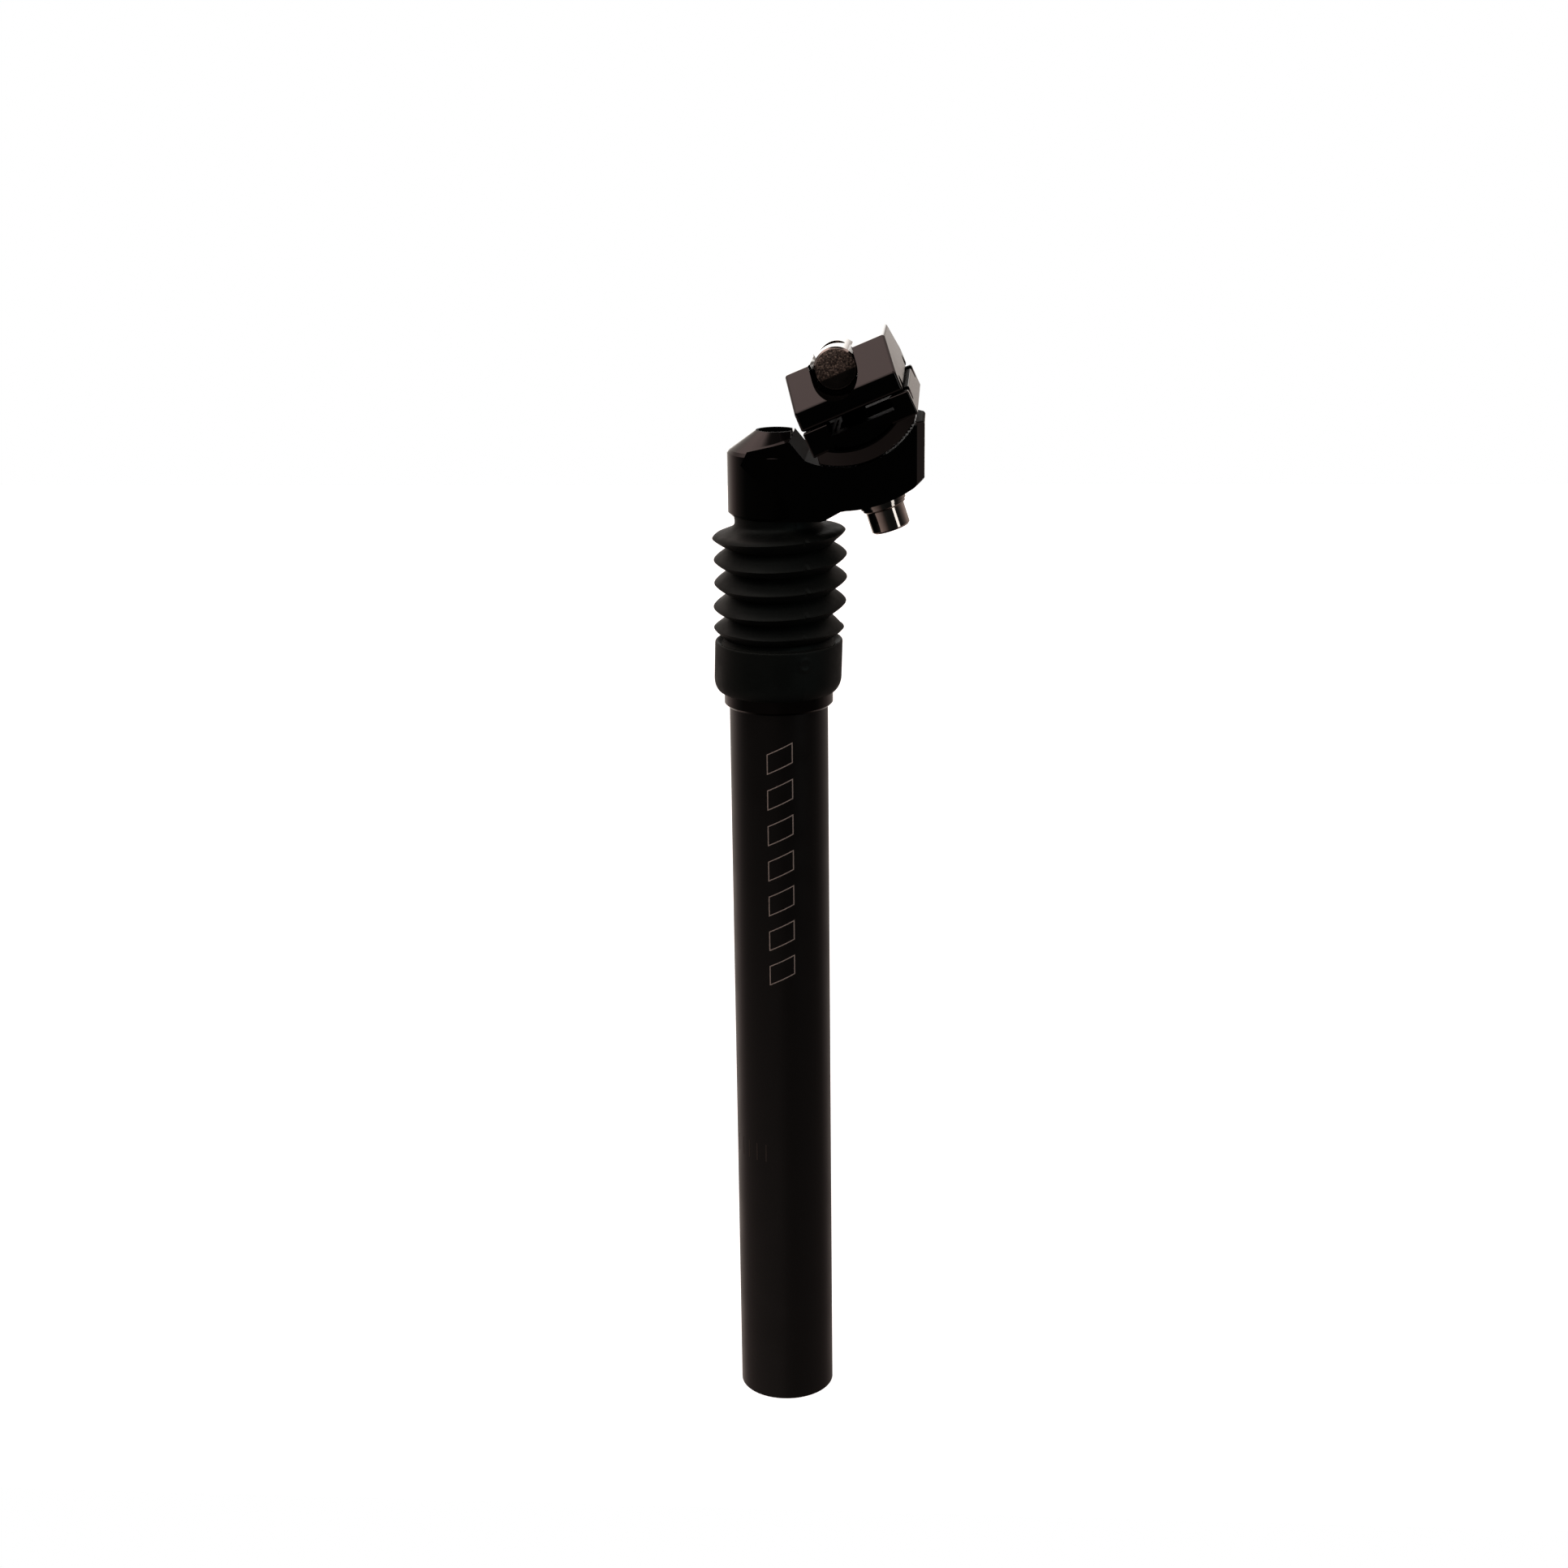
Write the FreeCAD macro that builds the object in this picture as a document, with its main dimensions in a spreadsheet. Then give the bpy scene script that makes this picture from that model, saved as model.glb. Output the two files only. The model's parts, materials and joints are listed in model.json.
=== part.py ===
import FreeCAD, Part
import math
import os
import re
import Sketcher

# A telescopic suspension seatpost for a 27.2 mm seat tube, with a one-bolt saddle clamp.
# Frame: +Z up along the post, origin at the centre of the tube's open lower end, +X to the rear.
# Millimetres and degrees.

doc = FreeCAD.newDocument("suspension_seatpost")
sheet = doc.addObject("Spreadsheet::Sheet", "Sizes")

SIZES = (
    # outer tube, measured up from its open end
    ("tube_radius", 13.6), ("tube_bore", 11.8), ("tube_top", 221.0), ("thread_radius", 13.0),
    ("thread_start", 209.2), ("tube_chamfer", 0.5),
    # screwed collar
    ("collar_radius", 15.0), ("collar_bottom", 209.3), ("collar_top", 226.0), ("collar_lip", 224.4),
    ("collar_lip_bore", 10.9), ("collar_chamfer", 0.7), ("collar_flats", 26.6), ("flat_bottom", 214.8),
    # guides between tube and shaft
    ("guide_gap", 0.06), ("bushing_bottom", 181.5), ("bushing_flange", 1.4), ("seal_bore", 10.5),
    ("pin_radius", 0.9), ("pin_circle", 10.6), ("pin_bottom", 200.0), ("pin_length", 14.0),
    ("groove_radius", 1.25), ("groove_bottom", 171.0), ("groove_top", 252.0),
    ("bumper_bottom", 176.3), ("bumper_top", 181.3), ("bumper_radius", 11.5),
    ("clip_bottom", 175.1), ("clip_height", 1.0), ("clip_radius", 11.0), ("clip_bore", 9.9),
    # sliding shaft and its foot
    ("shaft_radius", 10.4), ("shaft_bore", 7.9), ("shaft_bottom", 162.0), ("shaft_top", 276.5),
    ("foot_flange", 11.3), ("foot_bottom", 158.0), ("foot_plug_top", 182.0), ("spigot_radius", 5.0),
    ("spigot_bottom", 150.0), ("foot_hole", 2.5),
    # spring pack and preload plug
    ("wire_radius", 1.5), ("coil_radius", 9.2), ("coil_count", 18.0), ("seat_bottom", 21.5),
    ("seat_top", 24.5), ("seat_radius", 11.5), ("core_radius", 5.5), ("core_hole", 1.6), ("core_top", 118.0),
    ("plug_bottom", 3.0), ("plug_radius", 11.7), ("plug_socket", 8.0), ("socket_depth", 11.0),
    ("ring_height", 17.0), ("ring_groove", 9.9), ("ring_wire", 0.9),
    # rubber boot: cuff, ridges, neck
    ("cuff_bottom", 213.2), ("cuff_top", 227.4), ("cuff_radius", 17.5), ("cuff_round", 1.9),
    ("valley_radius", 14.0), ("first_valley_radius", 16.4), ("ridge_radius", 17.95),
    ("first_ridge", 230.8), ("ridge_pitch", 6.4), ("neck_radius", 11.6), ("neck_bottom", 258.4),
    ("boot_wall", 1.2),
    # head: stub, arm, cradle, throat between the stub and the arm's underside
    ("head_bottom", 262.0), ("stub_radius", 13.1), ("stub_top", 278.9), ("cone_top", 284.8),
    ("cone_radius", 5.3), ("top_hole", 4.6), ("stub_chamfer", 1.0), ("arm_half", 13.0),
    ("arm_rear", 40.0), ("arm_side_rear", 37.8), ("arm_corner", 9.5), ("arm_rear_top", 288.4),
    ("arm_front", -12.0), ("arm_waist_back", -6.7), ("arm_waist", 280.7), ("saddle_back", 4.4),
    ("saddle_top", 283.3), ("underside_radius", 34.2), ("cradle_radius", 22.72),
    ("cradle_front", 8.6), ("cradle_front_top", 278.3), ("cradle_low", 270.0),
    ("throat_front", 12.3), ("throat_back", 20.4), ("throat_top", 272.0), ("throat_rise", 3.1),
    # saddle clamp, about the centre that it rocks on
    ("pivot_back", 17.7), ("pivot_height", 299.2), ("clamp_tilt", 22.7), ("clamp_half", 28.0),
    ("drum_radius", 22.4), ("tooth_depth", 0.45), ("drum_half", 14.0), ("rim_depth", 1.3),
    ("rim_radius", 18.4), ("pocket_radius", 17.9), ("pocket_half", 12.0),
    ("block_top", -7.35), ("sill_top", -10.7), ("sill_bottom", -13.0), ("block_bottom", -14.0),
    ("front_end", -12.6), ("rear_end", 16.5), ("window_front", -6.0), ("window_rear", 11.5),
    ("cap_bottom", -7.05), ("cap_side_top", -1.8), ("cap_top", 6.7), ("cap_top_half", 13.5),
    ("cap_front", -12.6), ("cap_rear", 15.4), ("soft_edge", 0.8), ("block_edge", 0.5),
    ("step_front", -8.2), ("step_rear", 9.8), ("outer_edges", 3.0),
    ("rail_radius", 3.5), ("rail_gap", 0.05), ("rail_offset", 22.0), ("rail_height", -7.2),
    ("tooth_start", -36.0), ("tooth_end", 38.0), ("tooth_count", 29), ("rim_front", -13.0),
    ("rim_front_top", -18.2), ("rim_rear", 13.9), ("rim_rear_top", -17.9), ("rim_step", 10.0),
    # clamp bolt, its washers and its cross nut
    ("bolt_lean", 18.0), ("bolt_radius", 3.5), ("bolt_hole", 4.2), ("nut_rise", 3.1), ("nut_radius", 5.8),
    ("nut_half", 12.0), ("nut_dome", 0.5), ("channel_radius", 5.86), ("channel_mouth", 6.2),
    ("mouth_start", 10.6), ("slot_near", 15.0), ("slot_far", 40.0),
    ("bolt_seat", 37.0), ("bolt_head_radius", 5.3), ("bolt_head", 6.2), ("bolt_socket", 5.0),
    ("washer_top", 36.0), ("washer_radius", 6.3), ("curved_gap", 0.3), ("flat_washer_radius", 5.9),
    ("slot_half", 4.0), ("slot_front", 10.5), ("slot_rear", 22.0), ("washer_play", 0.03),
)

for row, (name, value) in enumerate(SIZES, start=1):
    sheet.set("A%d" % row, name)
    sheet.set("B%d" % row, str(value))
    sheet.setAlias("B%d" % row, name)
doc.recompute()

SIZE_NAMES = {name for name, value in SIZES}
PLANE = {"front": "XZ_Plane", "side": "YZ_Plane", "plan": "XY_Plane"}
UP = FreeCAD.Vector(0, 0, 1)
ACROSS = FreeCAD.Vector(0, 1, 0)
FAR = 60.0


def cells(expression):
    """Point every size named in an expression at its cell in the sheet."""
    def cell(match):
        word = match.group(0)
        return "Sizes." + word if word in SIZE_NAMES else word
    return re.sub(r"[a-z_]+", cell, str(expression))


def number(expression):
    """The value of an expression in the sizes, worked out in a spare cell."""
    sheet.set("D1", "=" + re.sub(r"Sizes\.", "", cells(expression)))
    sheet.recompute()
    return float(sheet.get("D1"))


def bind(thing, **properties):
    """Set properties of a document object from expressions in the sizes."""
    for name, expression in properties.items():
        thing.setExpression(name, cells(expression))


def outline(body, plane, corners):
    """A closed sketch of straight lines whose corners are held by expressions."""
    sketch = body.newObject("Sketcher::SketchObject", body.Name + "_outline")
    origin_plane = [part for part in body.Origin.OriginFeatures if part.Role == PLANE[plane]][0]
    sketch.AttachmentSupport = [(origin_plane, "")]
    sketch.MapMode = "FlatFace"
    points = [FreeCAD.Vector(number(x), number(y), 0) for x, y in corners]
    count = len(points)
    for index in range(count):
        sketch.addGeometry(Part.LineSegment(points[index], points[(index + 1) % count]))
    for index in range(count):
        sketch.addConstraint(Sketcher.Constraint("Coincident", index, 2, (index + 1) % count, 1))
    for index, corner in enumerate(corners):
        for kind, axis, expression in (("DistanceX", -2, corner[0]), ("DistanceY", -1, corner[1])):
            if abs(number(expression)) < 1e-9:
                sketch.addConstraint(Sketcher.Constraint("PointOnObject", index, 1, axis))
                continue
            rule = Sketcher.Constraint(kind, -1, 1, index, 1, number(expression))
            sketch.setExpression("Constraints[%d]" % sketch.addConstraint(rule), cells(expression))
    return sketch


def turned(label, corners):
    """A body of revolution about its own Z, from (radius, height) corners."""
    body = doc.addObject("PartDesign::Body", label)
    body.Label = label
    sketch = outline(body, "front", corners)
    turn = body.newObject("PartDesign::Revolution", label + "_turn")
    turn.Profile = sketch
    turn.ReferenceAxis = (sketch, ["V_Axis"])
    turn.Angle = 360.0
    return body


def padded(label, plane, corners, length):
    """A body padded both ways from one of its origin planes, length in all."""
    body = doc.addObject("PartDesign::Body", label)
    body.Label = label
    sketch = outline(body, plane, corners)
    pad = body.newObject("PartDesign::Pad", label + "_pad")
    pad.Profile = sketch
    pad.SideType = "Symmetric"
    bind(pad, Length=length)
    return body


def cylinder(label, radius, length, place):
    """A Part cylinder from its foot's place, along the place's own Z."""
    solid = doc.addObject("Part::Cylinder", label)
    bind(solid, Radius=radius, Height=length)
    solid.Placement = place
    return solid


def block(label, length, width, height, corner):
    """A Part box from its lowest corner."""
    solid = doc.addObject("Part::Box", label)
    bind(solid, Length=length, Width=width, Height=height)
    solid.Placement.Base = FreeCAD.Vector(*[number(value) for value in corner])
    return solid


def hexagon(label, across, place, depth):
    """A hexagonal prism, across its flats, from its foot's place."""
    solid = doc.addObject("Part::Prism", label)
    solid.Polygon = 6
    bind(solid, Circumradius="(%s) / sqrt(3)" % across, Height=depth)
    solid.Placement = place
    return solid


def joined(label, pieces):
    """Several solids fused into one."""
    solid = doc.addObject("Part::MultiFuse", label)
    solid.Shapes = pieces
    solid.Refine = True
    return solid


def shared(label, pieces):
    """What several solids have in common."""
    solid = doc.addObject("Part::MultiCommon", label)
    solid.Shapes = pieces
    return solid


def less(label, base, tools):
    """A solid with others cut away from it."""
    tool = tools[0] if len(tools) == 1 else joined(label + "_tools", tools)
    solid = doc.addObject("Part::Cut", label)
    solid.Label = label
    solid.Base = base
    solid.Tool = tool
    solid.Refine = True
    return solid


def at(x, y, z, axis=UP, degrees=0.0):
    """A place from expressions, turned about an axis."""
    spot = FreeCAD.Vector(number(x), number(y), number(z))
    return FreeCAD.Placement(spot, FreeCAD.Rotation(axis, degrees))


def along(x, y, z, direction):
    """A place whose own Z points along a direction."""
    spot = FreeCAD.Vector(number(x), number(y), number(z))
    return FreeCAD.Placement(spot, FreeCAD.Rotation(UP, direction))


def eased(label, base, radius, chosen):
    """A solid with the edges whose middles are chosen rounded off."""
    doc.recompute()
    solid = doc.addObject("Part::Fillet", label)
    solid.Base = base
    size = number(radius)
    edges = []
    for index, edge in enumerate(base.Shape.Edges, start=1):
        if chosen(edge.CenterOfMass):
            edges.append((index, size, size))
    solid.Edges = edges
    return solid


def finish(solid, place=None):
    """Take a solid as a sub-part of the seatpost, at its place."""
    if place is not None:
        solid.Placement = place
    subparts.append(solid)
    return solid


subparts = []
clamp_place = at("pivot_back", 0, "pivot_height", ACROSS, -number("clamp_tilt"))
bolt_place = at("pivot_back", 0, "pivot_height", ACROSS, -number("bolt_lean"))
bolt_in_clamp = FreeCAD.Rotation(ACROSS, number("clamp_tilt - bolt_lean"))
bolt_up = bolt_place.Rotation.multVec(UP)
bolt_up_in_clamp = bolt_in_clamp.multVec(UP)


# --- outer tube and what is screwed or pressed into it ---

finish(turned("outer_tube", (
    ("tube_bore", "tube_chamfer"), ("tube_bore + tube_chamfer", 0), ("tube_radius", 0),
    ("tube_radius", "thread_start"), ("thread_radius", "thread_start"),
    ("thread_radius", "tube_top"), ("tube_bore", "tube_top"))))

collar_blank = turned("collar_blank", (
    ("thread_radius + 0.05", "collar_bottom"), ("collar_radius - collar_chamfer", "collar_bottom"),
    ("collar_radius", "collar_bottom + collar_chamfer"), ("collar_radius", "collar_top - collar_chamfer"),
    ("collar_radius - collar_chamfer", "collar_top"), ("collar_lip_bore", "collar_top"),
    ("collar_lip_bore", "collar_lip"), ("thread_radius + 0.05", "collar_lip")))
flat_height = "collar_top - flat_bottom + 1"
flats = [
    block("collar_flat_rear", 4, "collar_radius * 2", flat_height,
          ("collar_flats / 2", "-collar_radius", "flat_bottom")),
    block("collar_flat_front", 4, "collar_radius * 2", flat_height,
          ("-collar_flats / 2 - 4", "-collar_radius", "flat_bottom")),
]
finish(less("retaining_collar", collar_blank, flats))

bushing_blank = turned("bushing_blank", (
    ("shaft_radius + guide_gap", "bushing_bottom"), ("tube_bore", "bushing_bottom"), ("tube_bore", "tube_top"),
    ("thread_radius", "tube_top"), ("thread_radius", "tube_top + bushing_flange"),
    ("shaft_radius + guide_gap", "tube_top + bushing_flange")))


def around(label, radius, bottom, length):
    """Three upright cylinders, evenly spaced on the circle of the anti-rotation pins."""
    made = []
    for turn in range(3):
        angle = math.radians(90 + 120 * turn)
        ring = number("pin_circle")
        place = at(ring * math.cos(angle), ring * math.sin(angle), bottom)
        made.append(cylinder("%s_%d" % (label, turn + 1), radius, length, place))
    return made


pins = around("pin", "pin_radius", "pin_bottom", "pin_length")
pin_seats = around("pin_seat", "pin_radius", "pin_bottom", "pin_length")
finish(less("upper_bushing", bushing_blank, pin_seats))

pin_group = doc.addObject("Part::Compound", "anti_rotation_pins")
pin_group.Links = pins
finish(pin_group)

finish(turned("wiper_seal", (
    ("seal_bore", "tube_top + bushing_flange"), ("thread_radius", "tube_top + bushing_flange"),
    ("thread_radius", "collar_lip"), ("seal_bore + 0.6", "collar_lip"), ("seal_bore", "collar_lip - 0.8"))))

# --- shaft and what travels with it ---

shaft_blank = turned("shaft_blank", (
    ("shaft_bore", "shaft_bottom"), ("shaft_radius", "shaft_bottom"), ("shaft_radius", "clip_bottom"),
    ("clip_bore", "clip_bottom"), ("clip_bore", "clip_bottom + clip_height"),
    ("shaft_radius", "clip_bottom + clip_height"), ("shaft_radius", "shaft_top"), ("shaft_bore", "shaft_top")))
shaft_grooves = around("shaft_groove", "groove_radius", "groove_bottom", "groove_top - groove_bottom")
finish(less("inner_shaft", shaft_blank, shaft_grooves))

finish(turned("lower_bushing", (
    ("shaft_radius", "shaft_bottom"), ("tube_bore - guide_gap", "shaft_bottom"),
    ("tube_bore - guide_gap", "clip_bottom"), ("shaft_radius", "clip_bottom"))))

clip_blank = turned("clip_blank", (
    ("clip_bore", "clip_bottom"), ("clip_radius", "clip_bottom"), ("clip_radius", "clip_bottom + clip_height"),
    ("clip_bore", "clip_bottom + clip_height")))
clip_gap = block("clip_gap", 6, 3, "clip_height + 2", ("clip_bore - 2", -1.5, "clip_bottom - 1"))
finish(less("bushing_circlip", clip_blank, [clip_gap]))

finish(turned("top_out_bumper", (
    ("shaft_radius", "bumper_bottom"), ("bumper_radius - 0.6", "bumper_bottom"),
    ("bumper_radius", "bumper_bottom + 0.8"), ("bumper_radius", "bumper_top - 0.8"),
    ("bumper_radius - 0.6", "bumper_top"), ("shaft_radius", "bumper_top"))))

finish(turned("shaft_foot", (
    ("foot_hole", "spigot_bottom"), ("spigot_radius - 0.8", "spigot_bottom"),
    ("spigot_radius", "spigot_bottom + 1.2"), ("spigot_radius", "foot_bottom"),
    ("foot_flange", "foot_bottom"), ("foot_flange", "shaft_bottom"), ("shaft_bore", "shaft_bottom"),
    ("shaft_bore", "foot_plug_top"), ("foot_hole", "foot_plug_top"))))

# --- spring pack and preload plug ---

spring_low = number("seat_top + wire_radius")
spring_high = number("foot_bottom - wire_radius")
spring_pitch = (spring_high - spring_low) / number("coil_count")
helix = Part.makeHelix(spring_pitch, spring_high - spring_low, number("coil_radius"))
helix.translate(FreeCAD.Vector(0, 0, spring_low))
wire_start = FreeCAD.Vector(number("coil_radius"), 0, spring_low)
wire_section = Part.Wire(Part.makeCircle(number("wire_radius"), wire_start, ACROSS))
main_spring = doc.addObject("Part::Feature", "main_spring")
main_spring.Shape = Part.Wire(helix.Edges).makePipeShell([wire_section], True, True)
finish(main_spring)

finish(turned("elastomer_core", (
    ("core_hole", "seat_top"), ("core_radius", "seat_top"), ("core_radius", "core_top - 2"),
    ("core_radius - 2", "core_top"), ("core_hole", "core_top"))))

finish(turned("spring_seat", (
    (0, "seat_bottom"), ("seat_radius", "seat_bottom"), ("seat_radius", "seat_top"), (0, "seat_top"))))

plug_blank = turned("plug_blank", (
    (0, "plug_bottom"), ("plug_radius - 0.8", "plug_bottom"), ("plug_radius", "plug_bottom + 0.8"),
    ("plug_radius", "ring_height - 1"), ("ring_groove", "ring_height - 1"), ("ring_groove", "ring_height + 1"),
    ("plug_radius", "ring_height + 1"), ("plug_radius", "seat_bottom"), (0, "seat_bottom")))
plug_hexagon = hexagon("plug_hexagon", "plug_socket", at(0, 0, "plug_bottom"), "socket_depth")
finish(less("preload_plug", plug_blank, [plug_hexagon]))

plug_ring = doc.addObject("Part::Torus", "plug_o_ring")
bind(plug_ring, Radius1="ring_groove + ring_wire", Radius2="ring_wire")
finish(plug_ring, at(0, 0, "ring_height"))

# --- rubber boot ---

boot_outside = [
    ("cuff_radius - cuff_round", "cuff_bottom"), ("cuff_radius", "cuff_bottom + cuff_round"),
    ("cuff_radius", "cuff_top"), ("first_valley_radius", "cuff_top + 1.6")]
for ridge in range(5):
    ridge_height = "first_ridge + ridge_pitch * %d" % ridge
    boot_outside.append(("ridge_radius", ridge_height))
    if ridge < 4:
        boot_outside.append(("valley_radius", ridge_height + " + ridge_pitch / 2"))
boot_outside.append(("neck_radius", "neck_bottom"))
boot_outside.append(("neck_radius", "head_bottom"))
boot_inside = [
    ("shaft_radius", "head_bottom"), ("shaft_radius", "neck_bottom - 0.8"),
    ("valley_radius - boot_wall", "neck_bottom - 4.6"), ("valley_radius - boot_wall", "collar_top + 1.2"),
    ("collar_radius - 1", "collar_top"), ("collar_radius", "collar_top"), ("collar_radius", "cuff_bottom")]
finish(turned("rubber_boot", tuple(boot_outside + boot_inside)))

# --- head: stub and cone, arm, cradle for the clamp, slot for the bolt ---

stub = turned("stub", (
    (0, "head_bottom"), ("stub_radius - stub_chamfer", "head_bottom"),
    ("stub_radius", "head_bottom + stub_chamfer"), ("stub_radius", "stub_top"),
    ("stub_radius - 0.7", "stub_top + 0.9"), ("cone_radius", "cone_top"), (0, "cone_top")))
arm_outline = padded("arm_outline", "front", (
    (0, "head_bottom + 1"), ("arm_rear - 10", "head_bottom - 12"), (FAR, "head_bottom - 12"),
    (FAR, "arm_rear_top - 1"), ("arm_rear + 0.4", "arm_rear_top - 1"), ("arm_rear - 0.6", "arm_rear_top"),
    ("arm_rear / 2", "arm_rear_top"), ("saddle_back", "saddle_top"), (0.2, "saddle_top - 1.1"),
    ("arm_waist_back", "arm_waist"), ("arm_front", "cradle_low"), ("arm_front", "head_bottom + 1")),
    "arm_half * 2")
arm_plan = padded("arm_plan", "plan", (
    ("arm_front", "-arm_half"), ("arm_side_rear", "-arm_half"), ("arm_rear", "-arm_corner"),
    ("arm_rear", "arm_corner"), ("arm_side_rear", "arm_half"), ("arm_front", "arm_half")), 700)
underside = cylinder("underside", "underside_radius", "arm_half * 4",
                     along("pivot_back", "-arm_half * 2", "pivot_height", ACROSS))
arm_blank = shared("arm_blank", [arm_outline, arm_plan, underside])
rear_half = number("pivot_back + 2")
arm = eased("arm", arm_blank, "soft_edge", lambda middle: middle.x > rear_half)
throat = padded("throat", "front", (
    (0, "head_bottom"), ("throat_front", "head_bottom"), ("throat_front + 1.3", "head_bottom + 0.3"),
    ("throat_back - 2.5", "head_bottom + throat_rise - 0.4"), ("throat_back", "head_bottom + throat_rise"),
    ("throat_back", "throat_top"), (0, "throat_top")), "arm_half * 2 - 1.2")
cradle_round = cylinder("cradle_round", "cradle_radius", "arm_half * 4",
                        along("pivot_back", "-arm_half * 2", "pivot_height", ACROSS))
cradle_reach = padded("cradle_reach", "front", (
    ("cradle_front", "cradle_low"), ("cradle_front", "cradle_front_top"),
    ("saddle_back", "saddle_top + 0.1"), ("saddle_back", "cradle_low + 50"), (FAR, "cradle_low + 50"),
    (FAR, "cradle_low")), "arm_half * 4")
cradle = shared("cradle", [cradle_round, cradle_reach])
shaft_socket = cylinder("shaft_socket", "shaft_radius", "shaft_top - head_bottom + 1",
                        at(0, 0, "head_bottom - 1"))
top_bore = cylinder("top_bore", "top_hole", 30, at(0, 0, "shaft_top - 1"))


def swing_point(lean, reach, offset):
    """A corner of the bolt's slot: out along a lean of the bolt and off to its side."""
    angle = math.radians(number(lean))
    x = number("pivot_back") + number(reach) * math.sin(angle) + offset * math.cos(angle)
    z = number("pivot_height") - number(reach) * math.cos(angle) + offset * math.sin(angle)
    return (x, z)


slot_side = number("slot_half")
bolt_slot = padded("bolt_slot", "front", (
    swing_point("slot_front", "slot_near", -slot_side), swing_point("slot_front", "slot_far", -slot_side),
    swing_point("slot_rear", "slot_far", slot_side), swing_point("slot_rear", "slot_near", slot_side)),
    "slot_half * 2")
head_blank = joined("head_blank", [stub, arm, throat])
finish(less("head", head_blank, [cradle, shaft_socket, top_bore, bolt_slot]))

# --- lower clamp: toothed drum with bevelled rims, rail blocks, window and pocket ---

blocks = padded("rail_blocks_blank", "front", (
    ("front_end", "block_top"), ("window_front", "block_top"), ("window_front", "sill_top"),
    ("window_rear", "sill_top"), ("window_rear", "block_top"), ("rear_end", "block_top - 0.1"),
    ("rear_end + 0.2", "block_bottom"), ("step_rear", "block_bottom"), ("step_rear - 0.2", "sill_bottom"),
    ("step_front + 0.6", "sill_bottom"), ("step_front", "block_bottom"),
    ("front_end + 0.2", "block_bottom - 0.2")), "clamp_half * 2")
front_edges = number("step_front - outer_edges / 4")
rear_edges = number("step_rear + outer_edges")
rail_blocks = eased("rail_blocks", blocks, "block_edge",
                    lambda middle: middle.x < front_edges or middle.x > rear_edges)

tooth_start = number("tooth_start")
tooth_pitch = number("(tooth_end - tooth_start) / tooth_count")
tooth_total = int(number("tooth_count"))
drum_outline = []
for tooth in range(tooth_total + 1):
    tip = tooth_start + tooth_pitch * tooth
    drum_outline.append((number("drum_radius"), tip))
    if tooth < tooth_total:
        drum_outline.append((number("drum_radius - tooth_depth"), tip + tooth_pitch / 2))
drum_corners = [(r * math.sin(math.radians(a)), -r * math.cos(math.radians(a))) for r, a in drum_outline]
drum_corners.append((number("rear_end"), number("block_bottom + 1")))
drum_corners.append((number("front_end"), number("block_bottom + 1")))
drum_points = [FreeCAD.Vector(x, -number("drum_half"), z) for x, z in drum_corners]
drum = doc.addObject("Part::Feature", "toothed_drum")
drum.Shape = Part.Face(Part.makePolygon(drum_points + drum_points[:1])).extrude(
    FreeCAD.Vector(0, number("drum_half * 2"), 0))

rim_reach = padded("rim_reach", "front", (
    ("rim_front", "rim_front_top"), ("front_end", "block_bottom + 1"), ("rear_end", "block_bottom + 1"),
    ("rim_rear", "rim_rear_top"), ("rim_step", "-drum_radius - 7.6"),
    ("-rim_step", "-drum_radius - 7.6")), "clamp_half * 2")
rim_cones = []
for side, name in ((-1, "near"), (1, "far")):
    cone = doc.addObject("Part::Cone", "rim_cone_" + name)
    bind(cone, Radius1="drum_radius - tooth_depth", Radius2="rim_radius", Height="rim_depth")
    cone.Placement = along(0, side * number("drum_half"), 0, ACROSS * side)
    rim_cones.append(cone)
rims = shared("rims", [joined("rim_pair", rim_cones), rim_reach])
clamp_blank = joined("clamp_blank", [rail_blocks, drum, rims])

pocket_discs = []
for side, name in ((-1, "near"), (1, "far")):
    place = along(0, side * number("pocket_half"), 0, ACROSS * side)
    pocket_discs.append(cylinder("pocket_disc_" + name, "pocket_radius", "clamp_half", place))
pocket_reach = block("pocket_reach", 17.4, "clamp_half * 2", 12,
                     (-7.8, "-clamp_half", "sill_bottom - 12"))
pockets = shared("pockets", [joined("pocket_pair", pocket_discs), pocket_reach])
well = block("well", "window_rear - window_front - 1", "clamp_half * 2 - 5", 6,
             ("window_front + 0.5", "-clamp_half + 2.5", "sill_top - 1.2"))
deep_well = block("deep_well", "window_rear - window_front - 2", 22, 12,
                  ("window_front + 1", -11, "block_bottom - 2"))


def rail_grooves(label):
    """Both round rail seats, along the clamp."""
    made = []
    for side, name in ((-1, "near"), (1, "far")):
        place = along(-FAR / 2, side * number("rail_offset"), "rail_height", FreeCAD.Vector(1, 0, 0))
        made.append(cylinder("%s_%s" % (label, name), "rail_radius + rail_gap", FAR, place))
    return made


def bolt_way(label, radius):
    """The bolt's hole through a clamp piece, leaning as the bolt does."""
    foot = bolt_up_in_clamp * -50.0
    return cylinder(label, radius, 100, along(foot.x, 0, foot.z, bolt_up_in_clamp))


lower_tools = [pockets, well, deep_well, bolt_way("lower_bolt_way", "bolt_hole")] + rail_grooves("lower_groove")
finish(less("lower_clamp", clamp_blank, lower_tools), clamp_place)

# --- upper clamp: cap with a channel for the cross nut ---

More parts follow.
